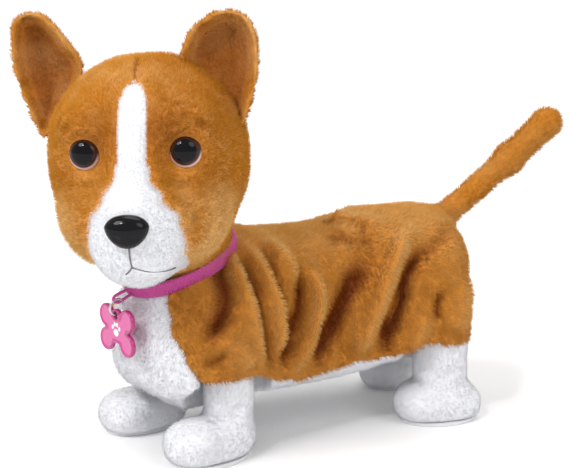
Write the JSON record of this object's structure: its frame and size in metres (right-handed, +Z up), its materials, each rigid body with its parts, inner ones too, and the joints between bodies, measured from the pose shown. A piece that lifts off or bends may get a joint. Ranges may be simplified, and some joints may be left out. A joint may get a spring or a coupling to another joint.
{
  "type": "walking plush puppy toy",
  "caption": "Battery walking plush puppy: jointed legs, bending waist, turning head, wagging tail, webbing collar with a bone tag, loose plush coat.",
  "frame": {"origin": "middle of the footprint on the floor, at the base of the bounding box", "axes": "+Z up; the puppy's front half walks towards -Y and its left side is +X"},
  "size_m": [0.1319, 0.2933, 0.2284],
  "materials": {
    "casing_plastic": "moulded",
    "structural_plastic": "moulded",
    "gear_plastic": "acetal",
    "steel": "bright",
    "motor_can": "plated",
    "cell_jacket": "printed jacket, no print",
    "board": "solder mask",
    "speaker_cone": "paper cone",
    "caramel_plush": "short pile plush",
    "white_plush": "short pile plush",
    "sole_rubber": "soft moulded",
    "collar_webbing": "ribbed webbing",
    "tag_plastic": "translucent rim",
    "black_gloss": "polished"
  },
  "bodies": {
    "front_body": {"front_shell_left": "casing_plastic", "front_shell_right": "casing_plastic", "front_shell_screws": "steel", "motor": "motor_can", "circuit_board": "board", "speaker": "speaker_cone", "neck_spindle": "structural_plastic", "front_hip_axle": "steel", "waist_pin": "steel", "coat_front": "caramel_plush", "chest_bib": "white_plush", "collar": "collar_webbing"},
    "crank": {"drive_gear": "gear_plastic", "crank_shaft": "steel", "crank_disc_left": "gear_plastic", "crank_disc_right": "gear_plastic"},
    "pinion": {"motor_pinion": "gear_plastic"},
    "button": {"back_button": "structural_plastic"},
    "head": {"skull_front": "casing_plastic", "skull_rear": "casing_plastic", "head_plush": "caramel_plush", "muzzle_plush": "white_plush", "nose": "black_gloss", "eye_left": "black_gloss", "eye_right": "black_gloss", "eye_washers": "structural_plastic", "ear_left": "caramel_plush", "ear_right": "caramel_plush"},
    "tag": {"tag_ring": "steel", "tag_plate": "tag_plastic"},
    "front_left_leg": {"front_left_leg_shell": "structural_plastic", "front_left_leg_plush": "white_plush", "front_left_sole": "sole_rubber"},
    "front_right_leg": {"front_right_leg_shell": "structural_plastic", "front_right_leg_plush": "white_plush", "front_right_sole": "sole_rubber"},
    "rear_body": {"rear_shell_left": "casing_plastic", "rear_shell_right": "casing_plastic", "rear_shell_screws": "steel", "battery_cells": "cell_jacket", "battery_contacts": "steel", "battery_door": "casing_plastic", "battery_door_screw": "steel", "power_switch_housing": "casing_plastic", "rear_hip_axle": "steel", "tail_pivot_pin": "steel", "coat_rear": "caramel_plush", "belly_panel": "white_plush"},
    "rear_left_leg": {"rear_left_leg_shell": "structural_plastic", "rear_left_leg_plush": "white_plush", "rear_left_sole": "sole_rubber"},
    "rear_right_leg": {"rear_right_leg_shell": "structural_plastic", "rear_right_leg_plush": "white_plush", "rear_right_sole": "sole_rubber"},
    "tail": {"tail_core": "structural_plastic", "tail_plush": "caramel_plush"},
    "power_knob": {"power_switch_knob": "structural_plastic"}
  },
  "joints": [
    {"name": "front_left_swing", "type": "hinge", "parent": "front_body", "child": "front_left_leg", "pos_m": [0.0184, -0.0645, 0.072], "axis": [1, 0, 0], "range_deg": [-12, 12]},
    {"name": "front_right_swing", "type": "hinge", "parent": "front_body", "child": "front_right_leg", "pos_m": [-0.046, -0.0645, 0.072], "axis": [1, 0, 0], "range_deg": [-12, 12]},
    {"name": "waist_turn", "type": "hinge", "parent": "front_body", "child": "rear_body", "pos_m": [-0.0138, 0.0005, 0.063], "axis": [0, 0, 1], "range_deg": [-6, 54]},
    {"name": "rear_left_swing", "type": "hinge", "parent": "rear_body", "child": "rear_left_leg", "pos_m": [0.04775, 0.05957, 0.072], "axis": [0.9135, -0.4067, 0], "range_deg": [-12, 12]},
    {"name": "rear_right_swing", "type": "hinge", "parent": "rear_body", "child": "rear_right_leg", "pos_m": [-0.01108, 0.08577, 0.072], "axis": [0.9135, -0.4067, 0], "range_deg": [-12, 12]},
    {"name": "neck_turn", "type": "hinge", "parent": "front_body", "child": "head", "pos_m": [-0.0138, -0.0701, 0.0997], "axis": [0, -0.3762, 0.9265], "range_deg": [-60, 12]},
    {"name": "tail_wag", "type": "hinge", "parent": "rear_body", "child": "tail", "pos_m": [0.01955, 0.07541, 0.101], "axis": [0, 0, 1], "range_deg": [-25, 25]},
    {"name": "tag_swing", "type": "hinge", "parent": "front_body", "child": "tag", "pos_m": [-0.0138, -0.1107, 0.0835], "axis": [1, 0, 0], "range_deg": [-35, 4]},
    {"name": "button_press", "type": "slide", "parent": "front_body", "child": "button", "axis": [0, 0, -1], "range_m": [0, 0.002], "stiffness_N_per_m": 150, "springref_m": -0.001},
    {"name": "power_slide", "type": "slide", "parent": "rear_body", "child": "power_knob", "axis": [0.4067, 0.9135, 0], "range_m": [0, 0.0038]},
    {"name": "gear_turn", "type": "hinge", "parent": "front_body", "child": "crank", "pos_m": [-0.0138, -0.0455, 0.062], "axis": [1, 0, 0], "continuous": true},
    {"name": "pinion_spin", "type": "hinge", "parent": "front_body", "child": "pinion", "pos_m": [-0.0138, -0.0296, 0.062], "axis": [1, 0, 0], "continuous": true}
  ],
  "couplings": [
    {"joint": "front_right_swing", "follows": "front_left_swing", "ratio": -1},
    {"joint": "rear_left_swing", "follows": "front_left_swing", "ratio": -1},
    {"joint": "rear_right_swing", "follows": "front_left_swing", "ratio": 1},
    {"joint": "pinion_spin", "follows": "gear_turn", "ratio": -4}
  ]
}
